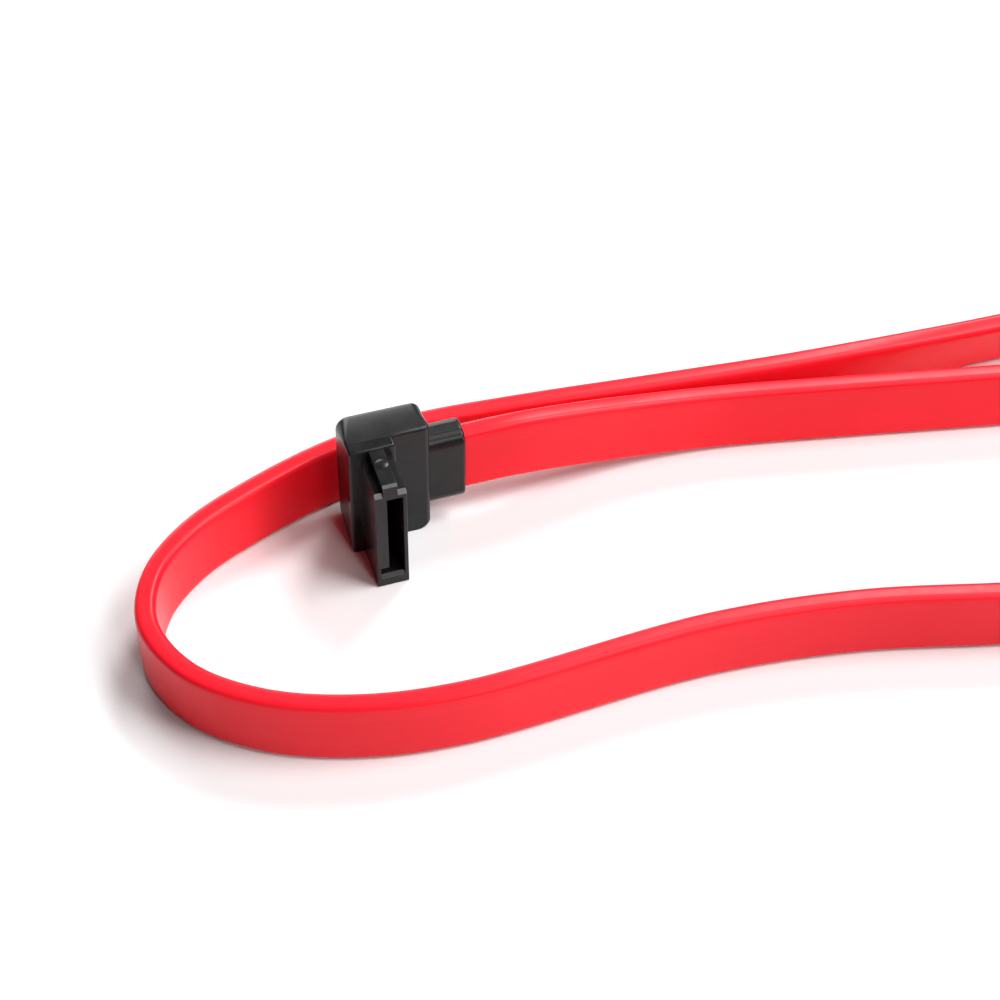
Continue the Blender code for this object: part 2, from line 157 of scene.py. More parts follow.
class Recipe:
    """One material: its Principled shader, and a method that adds any other node."""

    def __init__(self, name):
        self.material = bpy.data.materials.new(name)
        self.material.use_nodes = True
        self.tree = self.material.node_tree
        self.shader = self.tree.nodes["Principled BSDF"]

    def feed(self, socket, value):
        if isinstance(value, Signal):
            self.tree.links.new(value.socket, socket)
        else:
            socket.default_value = value

    def node(self, kind, values=(), output=0, **settings):
        made = self.tree.nodes.new(kind)
        for name, value in settings.items():
            setattr(made, name, value)
        for name, value in dict(values).items():
            self.feed(made.inputs[name], value)
        return Signal(self, made.outputs[output])

    def place(self, scale=(1, 1, 1)):
        """The point on the piece in metres, stretched by scale."""
        point = self.node("ShaderNodeTexCoord", output="Object")
        return self.node("ShaderNodeMapping", {"Vector": point, "Scale": scale})

    def noise(self, point, scale, detail=2.0):
        return self.node("ShaderNodeTexNoise", {"Vector": point, "Scale": scale, "Detail": detail})

    def colours(self, share, first, second):
        """From the first colour to the second as share goes from 0 to 1."""
        values = {0: share, 6: (*first, 1), 7: (*second, 1)}
        return self.node("ShaderNodeMix", values, output=2, data_type="RGBA")

    def bump(self, height, strength, depth):
        values = {"Height": height, "Strength": strength, "Distance": depth}
        return self.node("ShaderNodeBump", values)

    def finish(self, **sockets):
        """Feeds the shader: base_color goes to its socket Base Color, and so on."""
        for name, value in sockets.items():
            socket = self.shader.inputs[name.replace("_", " ").title().replace("Ior", "IOR")]
            self.feed(socket, (*value, 1) if isinstance(value, tuple) and len(value) == 3 else value)
        return self.material


print("recipes ready")

# %% [markdown]
# ## The red jacket's finish
#
# The jacket is soft PVC, pressed through a die. It has a silky shine, very fine lines along its
# length from the die, and a faint unevenness like orange peel. Along and across are not the scene's
# axes here, because the cable turns, so the pattern reads the jacket's own map, which runs along
# the cable and round its section in metres.

# %% Red jacket
def red_jacket():
    recipe = Recipe("red jacket")
    lay = recipe.node("ShaderNodeUVMap", uv_map="lay")
    drawn_out = recipe.node("ShaderNodeMapping", {"Vector": lay, "Scale": (30, 4200, 1)})
    lines = recipe.noise(drawn_out, 1.0, 3.0)
    peel = recipe.noise(recipe.place(), 900, 2.0)
    clouds = recipe.noise(recipe.place(), 55, 2.0)
    tone = clouds * 0.6 + lines * 0.4
    colour = recipe.colours(tone.between(0.3, 0.7), (0.83, 0.009, 0.021), (0.89, 0.014, 0.029))
    height = lines * 0.5 + peel * 0.5
    return recipe.finish(
        base_color=colour,
        roughness=0.32 + (peel - 0.5) * 0.12 + (clouds - 0.5) * 0.1,
        normal=recipe.bump(height, 0.25, 0.00002),
        specular_ior_level=0.18,
    )


jacket_red = red_jacket()
print("made", jacket_red.name)

# %% [markdown]
# ## The cable's route
#
# The cable is a real length of a real ribbon, so it is drawn as one smooth line of that length. It
# leaves plug A at half the plug's height, comes down onto its edge, turns outside the picture,
# comes back along the front, loops round at the left and goes behind the plug to plug B. The points
# were chosen from the picture, and a smooth curve runs through all of them. The fourth number is
# how far the ribbon leans, in degrees.

# %% The route's points, in millimetres
CABLE_WIDE = 7.7
CABLE_THICK = 2.1
CABLE_LIFT = 0.05
REST = CABLE_WIDE / 2 + CABLE_LIFT
ROUTE = (
    (2.8, 2.95, 7.2, 0),
    (6.2, 2.95, 7.2, 0),
    (12.0, 2.95, 7.15, 0),
    (19.0, 3.4, 6.1, 0),
    (26.5, 3.85, 4.7, 0),
    (35.0, 3.3, 4.0, 0),
    (48.0, 0.9, REST, 0),
    (65.0, -2.5, REST, 0),
    (82.0, -5.6, REST, 0),
    (92.7, -10.6, REST, 0),
    (97.3, -20.4, REST, 0),
    (92.1, -30.2, REST, 0),
    (80.5, -34.4, REST, 0),
    (66.0, -33.2, REST, 0),
    (51.4, -29.9, REST, 0),
    (37.0, -26.4, REST, 0),
    (22.5, -24.8, REST, 0),
    (-2.5, -25.6, REST, 0),
    (-12.0, -24.2, REST, 0),
    (-20.2, -20.9, REST, 0),
    (-26.0, -15.8, REST, 0),
    (-28.3, -9.3, REST, 0),
    (-26.6, -3.4, REST, 0),
    (-22.0, 1.3, REST, 0),
    (-15.4, 4.7, REST, 0),
    (-5.5, 8.0, REST, 0),
    (3.0, 8.95, REST, 0),
    (13.0, 8.5, REST, 0),
    (29.0, 7.1, REST, 0),
    (45.0, 5.9, REST, 2),
    (67.2, 5.9, REST, 18),
    (82.5, 5.4, REST, 8),
    (97.5, 1.8, REST, 0),
    (108.3, -6.8, REST, 0),
    (112.6, -18.8, REST, 0),
    (109.4, -30.6, 4.6, 0),
    (100.3, -37.9, 6.3, 0),
    (87.43, -39.82, 7.2, 0),
    (84.64, -40.94, 7.2, 0),
    (81.49, -42.22, 7.2, 0),
)
print(len(ROUTE), "points on the route")


# %% [markdown]
# ## A smooth line through the points
#
# A cubic curve can be made to pass through every point that it is given, with its slope at each
# point taken from the points beside it. Its centripetal form spaces its knots by the root of the
# distance, which keeps it from overshooting where points lie close together. The samples are then
# spread evenly, so that the ribbon's faces all have the same length.

# %% The smooth line
def smooth_line(points, steps):
    first = [2 * a - b for a, b in zip(points[0], points[1])]
    last = [2 * a - b for a, b in zip(points[-1], points[-2])]
    padded = [first, *points, last]
    line = []
    for p0, p1, p2, p3 in zip(padded, padded[1:], padded[2:], padded[3:]):
        t0 = 0.0
        t1 = t0 + math.sqrt(math.dist(p0[:3], p1[:3]))
        t2 = t1 + math.sqrt(math.dist(p1[:3], p2[:3]))
        t3 = t2 + math.sqrt(math.dist(p2[:3], p3[:3]))
        for step in range(steps):
            t = t1 + (t2 - t1) * step / steps
            sample = []
            for a, b, c, d in zip(p0, p1, p2, p3):
                ab = a + (b - a) * (t - t0) / (t1 - t0)
                bc = b + (c - b) * (t - t1) / (t2 - t1)
                cd = c + (d - c) * (t - t2) / (t3 - t2)
                abc = ab + (bc - ab) * (t - t0) / (t2 - t0)
                bcd = bc + (cd - bc) * (t - t1) / (t3 - t1)
                sample.append(abc + (bcd - abc) * (t - t1) / (t2 - t1))
            line.append(sample)
    line.append(list(points[-1]))
    return line


def even_line(line, count):
    """The same line with count points an equal way apart."""
    along = [0.0]
    for a, b in zip(line, line[1:]):
        along.append(along[-1] + math.dist(a[:3], b[:3]))
    even = []
    place = 0
    for i in range(count):
        target = along[-1] * i / (count - 1)
        while place < len(line) - 2 and along[place + 1] < target:
            place += 1
        share = (target - along[place]) / (along[place + 1] - along[place])
        even.append([a + (b - a) * share for a, b in zip(line[place], line[place + 1])])
    return even, along[-1]


CABLE_STATIONS = 401
STEPS_BETWEEN_POINTS = 24
cable_line, drawn_length = even_line(smooth_line(ROUTE, STEPS_BETWEEN_POINTS), CABLE_STATIONS)
print(f"drawn length {drawn_length:.1f} mm")

# %% [markdown]
# ## The ribbon
#
# The jacket's section is a flat strip with rounded edges. A curve object could be given a bevel,
# but its own map would then be out of reach. Here a flat grid is made first, with one side for the
# length and the other for the way round the section, and each of its points is then laid on the
# route: that keeps the map simple, because the grid is the map.

# %% The section, and the ribbon laid along its route
EDGE_RADIUS = 0.62
SECTION_STEPS = 6
SECTION_SPACING = 0.6
SAME_PLACE = 1e-7


def rounded_outline(wide, tall, radii, steps):
    """Points round a rectangle with a radius for each corner.

    The corners come in this order: upper right, upper left, lower left, lower right.
    """
    outline = []
    signs = ((1, 1), (-1, 1), (-1, -1), (1, -1))
    for corner, ((sign_x, sign_y), radius) in enumerate(zip(signs, radii)):
        centre_x = sign_x * (wide / 2 - radius)
        centre_y = sign_y * (tall / 2 - radius)
        for step in range(steps + 1):
            angle = math.pi / 2 * (corner + step / steps)
            outline.append((centre_x + radius * math.cos(angle), centre_y + radius * math.sin(angle)))
    return outline


def section_outline():
    """The jacket's section with extra points on its flat sides, starting under the lower edge."""
    outline = rounded_outline(CABLE_THICK, CABLE_WIDE, [EDGE_RADIUS] * 4, SECTION_STEPS)
    start = 3 * (SECTION_STEPS + 1)
    outline = outline[start:] + outline[:start]
    filled = []
    for here, after in zip(outline, outline[1:] + outline[:1]):
        pieces = max(1, round(math.dist(here, after) / SECTION_SPACING))
        for piece in range(pieces):
            share = piece / pieces
            filled.append(tuple(a + (b - a) * share for a, b in zip(here, after)))
    return filled


def station_frames(line):
    """At each station: its place, and the directions of the ribbon's thickness and of its width."""
    places = [Vector(sample[:3]) * MM for sample in line]
    frames = []
    for i, place in enumerate(places):
        ahead = (places[min(i + 1, len(places) - 1)] - places[max(i - 1, 0)]).normalized()
        side = Vector((0, 0, 1)).cross(ahead).normalized()
        up = ahead.cross(side)
        lean = Matrix.Rotation(math.radians(line[i][3]), 3, ahead)
        frames.append((place, lean @ side, lean @ up))
    return frames


def make_ribbon(name, line, length):
    outline = section_outline()
    around = len(outline)
    frames = station_frames(line)
    bm = bmesh.new()
    bmesh.ops.create_grid(bm, x_segments=len(line) - 1, y_segments=around, size=0.5)
    lay = bm.loops.layers.uv.new("lay")
    perimeter = [0.0]
    for here, after in zip(outline, outline[1:] + outline[:1]):
        perimeter.append(perimeter[-1] + math.dist(here, after))
    for face in bm.faces:
        for loop in face.loops:
            turn = round((loop.vert.co.y + 0.5) * around)
            loop[lay].uv = ((loop.vert.co.x + 0.5) * length * MM, perimeter[turn] * MM)
    for vert in bm.verts:
        place, side, up = frames[round((vert.co.x + 0.5) * (len(line) - 1))]
        across, high = outline[round((vert.co.y + 0.5) * around) % around]
        vert.co = place + (side * across + up * high) * MM
    bmesh.ops.remove_doubles(bm, verts=bm.verts, dist=SAME_PLACE)
    open_edges = [edge for edge in bm.edges if edge.is_boundary]
    bmesh.ops.holes_fill(bm, edges=open_edges, sides=0)
    return finished(name, bm)


print(len(section_outline()), "points round the section")


# %% [markdown]
# ## From bmesh to a piece
#
# Every piece ends the same way: its faces are turned outwards, it becomes an object at the origin
# with its place in its mesh, and it is shaded smooth except along edges sharper than a chosen
# angle.

# %% Ending a piece
def finished(name, bm, sharp=35):
    bmesh.ops.recalc_face_normals(bm, faces=bm.faces)
    mesh = bpy.data.meshes.new(name)
    bm.to_mesh(mesh)
    bm.free()
    mesh.shade_smooth()
    mesh.set_sharp_from_angle(angle=math.radians(sharp))
    obj = bpy.data.objects.new(name, mesh)
    bpy.context.scene.collection.objects.link(obj)
    return obj


def applied(obj):
    """The piece with its modifiers worked into its mesh."""
    evaluated = obj.evaluated_get(bpy.context.evaluated_depsgraph_get())
    mesh = bpy.data.meshes.new_from_object(evaluated)
    obj.modifiers.clear()
    old = obj.data
    obj.data = mesh
    mesh.name = obj.name
    bpy.data.meshes.remove(old)
    return obj


def combined(obj, others, operation):
    """The piece joined with the other shapes, or with them cut out of it. The others are used up."""
    for other in others:
        boolean = obj.modifiers.new("combine", "BOOLEAN")
        boolean.operation = operation
        boolean.object = other
    bpy.context.view_layer.update()
    applied(obj)
    for other in others:
        bpy.data.meshes.remove(other.data)
    return obj


def dressed(obj, material, slot, *nodes):
    """Gives a piece its finish, sets it on the fixed model and lets it stand for its node there."""
    obj.data.materials.clear()
    obj.data.materials.append(material)
    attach(obj, "root")
    if nodes:
        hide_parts(*nodes)
    return obj


print("pieces can be ended, joined and dressed")

# %% Make the jacket
ribbon = make_ribbon("jacket", cable_line, drawn_length)
dressed(ribbon, jacket_red, "red_jacket", "cable_jacket")
print("jacket:", len(ribbon.data.polygons), "faces")

# %% [markdown]
# ## Black plastics
#
# The plug has two blacks. The insulator is hard, glass-filled plastic from a polished mould: a deep
# black with a clear shine on its edges. The overmould is softer and comes from a finely eroded
# mould, which spreads its highlights. Spread light makes a black look greyer, so the soft one's own
# colour is set a little darker, and the two look nearly alike, as they do in the picture. Both get
# their grain from noise at a real size, about a tenth of a millimetre.

# %% Black plastics
def hard_black():
    recipe = Recipe("hard black plastic")
    point = recipe.place()
    flow = recipe.noise(recipe.place((1, 1, 0.3)), 700, 3.0)
    grain = recipe.noise(point, 9000, 2.0)
    colour = recipe.colours(flow.between(0.35, 0.7), (0.010, 0.010, 0.011), (0.014, 0.014, 0.015))
    return recipe.finish(
        base_color=colour,
        roughness=0.22 + (flow - 0.5) * 0.1 + (grain - 0.5) * 0.04,
        normal=recipe.bump(grain, 0.05, 0.00001),
        specular_ior_level=0.24,
    )


def soft_black():
    recipe = Recipe("soft black plastic")
    point = recipe.place()
    grain = recipe.noise(point, 7000, 3.0)
    pits = recipe.node("ShaderNodeTexVoronoi", {"Vector": point, "Scale": 5200}, output="Distance")
    clouds = recipe.noise(point, 420, 2.0)
    colour = recipe.colours(clouds.between(0.3, 0.7), (0.005, 0.005, 0.0055), (0.009, 0.009, 0.0095))
    height = grain * 0.6 + pits * 0.4
    return recipe.finish(
        base_color=colour,
        roughness=0.32 + (grain - 0.5) * 0.12 + (clouds - 0.5) * 0.1,
        normal=recipe.bump(height, 0.12, 0.00002),
        specular_ior_level=0.27,
    )


black_hard = hard_black()
black_soft = soft_black()
print("made", black_hard.name, "and", black_soft.name)

# %% [markdown]
# ## The insulator
#
# The insulator holds the contacts and mates with the header. Its nose is a thin upright block with
# an L-shaped slot, a key rib along its narrow top and a small round bump on the rib that grips the
# header. A flange closes the nose off, and the block behind the flange is what the soft plastic
# grips. The nose, the rib and the block are cubes whose edges are rounded before they are joined,
# and the flange and the bump are lofts. The slopes on the nose's upper front edges are cut with
# bars, because a bevel would fold over itself beside the rib. The rib starts a hair behind the
# nose's front, and the nose's foot stands a hair above the table, so that no two faces fall
# together where the blocks are joined. The slot and the seven channels for the contacts are cut
# last, because a real mould forms them with steel cores in the same way.

# %% Sizes of the insulator
NOSE_LONG = 5.0
NOSE_THICK = 3.2
NOSE_TALL = 13.13
NOSE_EDGE = 0.08
NOSE_FOOT = 0.01
SLOT_LEFT = 1.3
SLOT_WIDE = 1.4
SLOT_BOTTOM = 1.4
SLOT_TALL = 10.57
SLOT_DEEP = 6.0
FOOT_REACH = 0.85
FOOT_TALL = 1.12
LEAD_IN_DEEP = 0.4
LEAD_IN_SIDES = 0.12
LEAD_IN_ENDS = 0.34
RIB_LEFT = 0.8
RIB_RIGHT = 2.3
RIB_BELOW_TOP = 0.15
RIB_TOP = PLUG_TALL - RIB_BELOW_TOP
NOSE_IN_FLANGE = 0.6
RIB_IN_FLANGE = 0.5
RIB_SUNK = 1.0
RIB_SETBACK = 0.005
FRONT_CHAMFER = 0.4
RIB_CHAMFER_BACK = 0.25
RIB_CHAMFER_DOWN = 0.265
FLANGE_GAP = 0.02
FLANGE_BACK = BODY_FRONT - FLANGE_GAP
FLANGE_CORNER = 0.3
FLANGE_RIM = 0.26
FLANGE_STEPS = 4
GRIP_IN_FLANGE = 0.6
GRIP_EDGE = 0.1
GRIP_LONG = 1.0
GRIP_OVERHANG = 0.2
GRIP_END_MARGIN = 1.0
BUMP_ACROSS = 1.3
BUMP_HIGH = 0.06
BUMP_STEP = 0.02
BUMP_SIDES = 40
BUMP_RINGS = 6
BUMP_TIP = 0.05
BUMP_FOOT = 0.1
BUMP_FROM_FRONT = 3.0
CONTACTS = 7
CONTACT_PITCH = 1.27
CONTACT_WIDE = 0.5
CONTACT_THICK = 0.2
CHANNEL_DEEP = 0.85
CHANNEL_GAP = 0.1
CHANNEL_FROM_FRONT = 0.7
PAST_END = 0.3


def contact_level(index):
    return CABLE_LEVEL + (index - (CONTACTS - 1) / 2) * CONTACT_PITCH


print(f"slot: {SLOT_TALL} mm tall and {SLOT_WIDE} mm wide, contacts {CONTACT_PITCH} mm apart")

# %% [markdown]
# ## Helpers for blocks
#
# Four shapes come back again and again: a loft through outlines, the steps of a quarter circle, a
# block, and a bar that cuts an edge to a profile. A real mould's edges are never quite sharp, so a
# block can also be rounded. Only its outer edges are, because an inner corner in a moulding is
# where two steel parts meet.

# %% Helpers for blocks
def lofted(rings):
    """A bmesh through rings of equal point counts, closed at both ends."""
    bm = bmesh.new()
    loops = []
    for ring in rings:
        verts = [bm.verts.new(drawn(*point)) for point in ring]
        loops.append([bm.edges.new(pair) for pair in zip(verts, verts[1:] + verts[:1])])
    for near, far in zip(loops, loops[1:]):
        bmesh.ops.bridge_loops(bm, edges=near + far)
    bmesh.ops.edgeloop_fill(bm, edges=loops[0])
    bmesh.ops.edgeloop_fill(bm, edges=loops[-1])
    bmesh.ops.recalc_face_normals(bm, faces=bm.faces)
    return bm


def quarter(radius, steps):
    """Points of a quarter circle: how far it has gone along, and how far it has come in."""
    for step in range(steps + 1):
        angle = math.pi / 2 * step / steps
        yield radius * math.sin(angle), radius * (1 - math.cos(angle))


def block(low, high):
    bm = bmesh.new()
    bmesh.ops.create_cube(bm, size=1)
    size = [h - l for l, h in zip(low, high)]
    middle = drawn(*[(h + l) / 2 for l, h in zip(low, high)])
    bmesh.ops.scale(bm, verts=bm.verts, vec=[s * MM for s in size])
    bmesh.ops.translate(bm, verts=bm.verts, vec=middle)
    return bm


def rounded(bm, radius, segments=3, sharper_than=60):
    """Rounds every outer edge that is sharper than an angle, and leaves inner corners sharp."""
    bmesh.ops.recalc_face_normals(bm, faces=bm.faces)
    edges = [edge for edge in bm.edges if edge.calc_face_angle_signed(0) > math.radians(sharper_than)]
    bmesh.ops.bevel(
        bm, geom=edges, affect="EDGES", offset=radius * MM, segments=segments, profile=0.5, material=-1
    )
    return bm


def edge_cutter(name, left, right, front, top, profile):
    """A bar from left to right over a front upper edge, which cuts the edge to a profile.

    Each point of the profile says how far back it lies from the front and how far down from the top.
    """
    outline = [(front - PAST_END, top - profile[0][1])]
    outline += [(front + back, top - down) for back, down in profile]
    outline += [(front + profile[-1][0], top + PAST_END), (front - PAST_END, top + PAST_END)]
    ends = [[(x, y, z) for y, z in outline] for x in (left, right)]
    return finished(name, lofted(ends))


print("helpers ready")


# %% The nose and its slot
def slot_ring(y):
    """The slot's L at one depth. It flares at the front, most at its two narrow ends."""
    flare = max(0.0, 1 - y / LEAD_IN_DEEP)
    side = LEAD_IN_SIDES * flare
    end = LEAD_IN_ENDS * flare
    left = SLOT_LEFT - side
    right = SLOT_LEFT + SLOT_WIDE + side
    foot_left = left - FOOT_REACH
    foot_top = SLOT_BOTTOM + FOOT_TALL + side
    bottom = SLOT_BOTTOM - end
    top = SLOT_BOTTOM + SLOT_TALL + end
    outline = (
        (foot_left, bottom),
        (right, bottom),
        (right, top),
        (left, top),
        (left, foot_top),
        (foot_left, foot_top),
    )
    return [(x, y, z) for x, z in outline]


def make_nose():
    wall_high = (NOSE_THICK, NOSE_LONG + NOSE_IN_FLANGE, NOSE_TALL)
    nose = finished("nose", rounded(block((0, 0, NOSE_FOOT), wall_high), NOSE_EDGE))
    rib_low = (RIB_LEFT, RIB_SETBACK, NOSE_TALL - RIB_SUNK)
    rib_high = (RIB_RIGHT, NOSE_LONG + RIB_IN_FLANGE, RIB_TOP)
    rib = finished("rib", rounded(block(rib_low, rib_high), NOSE_EDGE))
    combined(nose, [rib], "UNION")
    shoulder_slope = ((0, FRONT_CHAMFER), (FRONT_CHAMFER, 0))
    rib_slope = ((0, RIB_CHAMFER_DOWN), (RIB_CHAMFER_BACK, 0))
    cutters = [
        edge_cutter("slope", -PAST_END, RIB_LEFT, 0, NOSE_TALL, shoulder_slope),
        edge_cutter("slope", RIB_RIGHT, NOSE_THICK + PAST_END, 0, NOSE_TALL, shoulder_slope),
        edge_cutter("slope", RIB_LEFT - PAST_END, RIB_RIGHT + PAST_END, 0, RIB_TOP, rib_slope),
    ]
    return combined(nose, cutters, "DIFFERENCE")


print(f"the slot reaches {SLOT_DEEP} mm into the nose")


# %% The flange and the bump
def make_flange():
    """The flange: its four corners follow the body behind it, and its front rim is a little eased."""
    wide = FLANGE_RIGHT_FACE - BODY_LEFT
    middle = (FLANGE_RIGHT_FACE + BODY_LEFT) / 2
    rings = []
    depths = [(NOSE_LONG + FLANGE_RIM - out, gone) for out, gone in quarter(FLANGE_RIM, FLANGE_STEPS)]
    depths.reverse()
    for y, inset in (*depths, (FLANGE_BACK, 0)):
        radii = [FLANGE_CORNER - inset] * 4
        outline = rounded_outline(wide - 2 * inset, PLUG_TALL - 2 * inset, radii, FLANGE_STEPS)
        rings.append([(x + middle, y, z + PLUG_TALL / 2) for x, z in outline])
    return finished("flange", lofted(rings))


def make_bump():
    """A low round cap on a very low step. The step keeps the cap's shading apart from the flat rib."""
    ball = (BUMP_ACROSS ** 2 / 4 + BUMP_HIGH ** 2) / (2 * BUMP_HIGH)
    crown = RIB_TOP + BUMP_STEP + BUMP_HIGH
    middle = (RIB_LEFT + RIB_RIGHT) / 2
    rings = []
    for step in range(BUMP_RINGS + 1):
        radius = BUMP_ACROSS / 2 * (1 - (1 - BUMP_TIP) * step / BUMP_RINGS)
        height = crown - ball + math.sqrt(ball ** 2 - radius ** 2)
        ring = []
        for turn in range(BUMP_SIDES):
            angle = 2 * math.pi * turn / BUMP_SIDES
            x = middle + radius * math.cos(angle)
            y = BUMP_FROM_FRONT + radius * math.sin(angle)
            ring.append((x, y, height))
        rings.append(ring)
    foot = [(x, y, RIB_TOP - BUMP_FOOT) for x, y, z in rings[0]]
    return finished("bump", lofted([foot, *rings]))


print(f"the bump stands {BUMP_HIGH} mm high")


# %% The insulator of plug A, and its copy at plug B
def make_insulator():
    nose = make_nose()
    grip_low = (-GRIP_OVERHANG, FLANGE_BACK - GRIP_IN_FLANGE, GRIP_END_MARGIN)
    grip_high = (NOSE_THICK + GRIP_OVERHANG, FLANGE_BACK + GRIP_LONG, PLUG_TALL - GRIP_END_MARGIN)
    joined = [
        make_flange(),
        finished("grip", rounded(block(grip_low, grip_high), GRIP_EDGE)),
        make_bump(),
    ]
    body = combined(nose, joined, "UNION")
    slot_rings = [slot_ring(y) for y in (-PAST_END, LEAD_IN_DEEP, SLOT_DEEP)]
    cores = [finished("slot", lofted(slot_rings))]
    for index in range(CONTACTS):
        half = CONTACT_WIDE / 2 + CHANNEL_GAP
        low = (SLOT_LEFT - CHANNEL_DEEP, CHANNEL_FROM_FRONT, contact_level(index) - half)
        high = (SLOT_LEFT + CONTACT_THICK, FLANGE_BACK + GRIP_LONG + PAST_END, contact_level(index) + half)
        cores.append(finished("channel", block(low, high)))
    combined(body, cores, "DIFFERENCE")
    body.name = "insulator_a"
    even_shading(body)
    return body


def even_shading(obj, sharp=35):
    """Smooth rounded edges beside flat faces that stay flat."""
    obj.data.shade_smooth()
    obj.data.set_sharp_from_angle(angle=math.radians(sharp))
    weighted = obj.modifiers.new("even shading", "WEIGHTED_NORMAL")
    weighted.keep_sharp = True
    weighted.weight = 100


def at_plug_b(obj):
    """A copy of a plug A piece, moved to plug B."""
    name = obj.name.replace("_a", "_b", 1)
    mesh = obj.data.copy()
    mesh.name = name
    mesh.transform(PLUG_B_PLACE)
    copy = bpy.data.objects.new(name, mesh)
    bpy.context.scene.collection.objects.link(copy)
    for modifier in obj.modifiers:
        twin = copy.modifiers.new(modifier.name, modifier.type)
        twin.keep_sharp = modifier.keep_sharp
        twin.weight = modifier.weight
    return copy


insulator_a = make_insulator()
insulator_b = at_plug_b(insulator_a)
dressed(insulator_a, black_hard, "hard_black_plastic", "plug_a_insulator")
dressed(insulator_b, black_hard, "hard_black_plastic", "plug_b_insulator")
print("insulator:", len(insulator_a.data.polygons), "faces")

# %% [markdown]
# ## The overmould
#
# Soft plastic is moulded round the insulator, the wires and the cable's end in one shot, so the
# body and the strain relief are one piece. Its front matches the flange with almost sharp edges.
# Its back is rounded all over, and its two narrow ends fall away slightly towards the back, as a
# mould's draft makes them. No single rounding tool gives a corner that grows along an edge, so the
# body is a loft: one outline after another from front to back, each a rectangle with its own corner
# radii, bridged together. Where the front face meets the flange its edge stays sharp, so a shaped
# bar rounds its upper edge only beside the flange. The strain relief is a second loft that runs
# sideways. The cores that are cut out last leave room for the insulator's block, the wires and the
# cable.

# %% Sizes of the overmould
RELIEF_LONG = 3.8
RELIEF_IN_BODY = 1.0
BODY_RIGHT = RELIEF_END - RELIEF_LONG
BACK_RADIUS = 0.85
TOP_FALL = 0.2
BACK_FALL = 0.1
BODY_STEPS = 8
BACK_STEPS = 8
CORNER_UPPER_RIGHT = 0.9
CORNER_LOWER_RIGHT = 0.95
CORNER_FRONT = 0.3
CORNER_BACK = 1.4
CORNER_STEPS = 8
RIM_RIGHT = 0.6
RIM_TOP = 0.35
RIM_STEPS = 6
RELIEF_THICK = 3.5
RELIEF_TALL = 9.2
RELIEF_FRONT_RADIUS = 1.4
RELIEF_BACK_RADIUS = 1.4
RELIEF_END_RADIUS = 0.35
RELIEF_END_STEPS = 5
CABLE_Y = 8.35
POCKET_GAP = 0.1
CHAMBER_DEEP = 2.1
CHAMBER_WALL = 0.5
CHAMBER_END_MARGIN = 2.2
CABLE_GAP = 0.06
print(f"strain relief: {RELIEF_LONG} mm long and {RELIEF_THICK} mm thick")


# %% The body and the strain relief
def body_ring(y, corner, inset=0.0, right_inset=0.0, fall=0.0):
    left = BODY_LEFT + inset
    right = BODY_RIGHT - inset - right_inset
    tall = PLUG_TALL - 2 * inset - 2 * fall
    upper_right = min(corner, CORNER_UPPER_RIGHT)
    lower_right = max(corner, CORNER_LOWER_RIGHT)
    radii = [radius - inset for radius in (upper_right, corner, corner, lower_right)]
    outline = rounded_outline(right - left, tall, radii, CORNER_STEPS)
    return [(x + (left + right) / 2, y, z + PLUG_TALL / 2) for x, z in outline]


def make_body():
    rings = []
    for out, gone in quarter(RIM_RIGHT, RIM_STEPS):
        rings.append(body_ring(BODY_FRONT + RIM_RIGHT - out, CORNER_FRONT, right_inset=gone))
    rings.reverse()
    straight_from = BODY_FRONT + RIM_RIGHT
    straight_to = BODY_BACK - BACK_RADIUS
    for step in range(1, BODY_STEPS + 1):
        share = step / BODY_STEPS
        y = straight_from + (straight_to - straight_from) * share
        corner = CORNER_FRONT + (CORNER_BACK - CORNER_FRONT) * share
        rings.append(body_ring(y, corner, fall=TOP_FALL * share ** 2))
    for out, gone in list(quarter(BACK_RADIUS, BACK_STEPS))[1:]:
        fall = TOP_FALL + out * BACK_FALL
        rings.append(body_ring(straight_to + out, CORNER_BACK, inset=gone, fall=fall))
    return finished("overmould_a", lofted(rings))


def rim_cutter():
    """What is taken off the front face's upper edge, beside the flange only."""
    profile = [(gone, RIM_TOP - out) for out, gone in quarter(RIM_TOP, RIM_STEPS)]
    right = BODY_RIGHT + PAST_END
    return edge_cutter("rim", FLANGE_RIGHT_FACE, right, BODY_FRONT, PLUG_TALL, profile)


def relief_ring(x, inset):
    thick = RELIEF_THICK - 2 * inset
    tall = RELIEF_TALL - 2 * inset
    front = RELIEF_FRONT_RADIUS - inset
    back = RELIEF_BACK_RADIUS - inset
    outline = rounded_outline(thick, tall, (back, front, front, back), CORNER_STEPS)
    return [(x, CABLE_Y + y, CABLE_LEVEL + z) for y, z in outline]


def make_relief():
    rings = [relief_ring(BODY_RIGHT - RELIEF_IN_BODY, 0)]
    for out, gone in quarter(RELIEF_END_RADIUS, RELIEF_END_STEPS):
        rings.append(relief_ring(RELIEF_END - RELIEF_END_RADIUS + out, gone))
    return finished("relief", lofted(rings))


print(f"the body's narrow ends fall by {TOP_FALL} mm")


# %% The overmould of plug A, and its copy at plug B
def pocket_core():
    """Room for the insulator's block."""
    gap = POCKET_GAP
    low = (-GRIP_OVERHANG - gap, BODY_FRONT - PAST_END, GRIP_END_MARGIN - gap)
    back = FLANGE_BACK + GRIP_LONG + 2 * gap
    high = (NOSE_THICK + GRIP_OVERHANG + gap, back, PLUG_TALL - GRIP_END_MARGIN + gap)
    return finished("pocket", block(low, high))


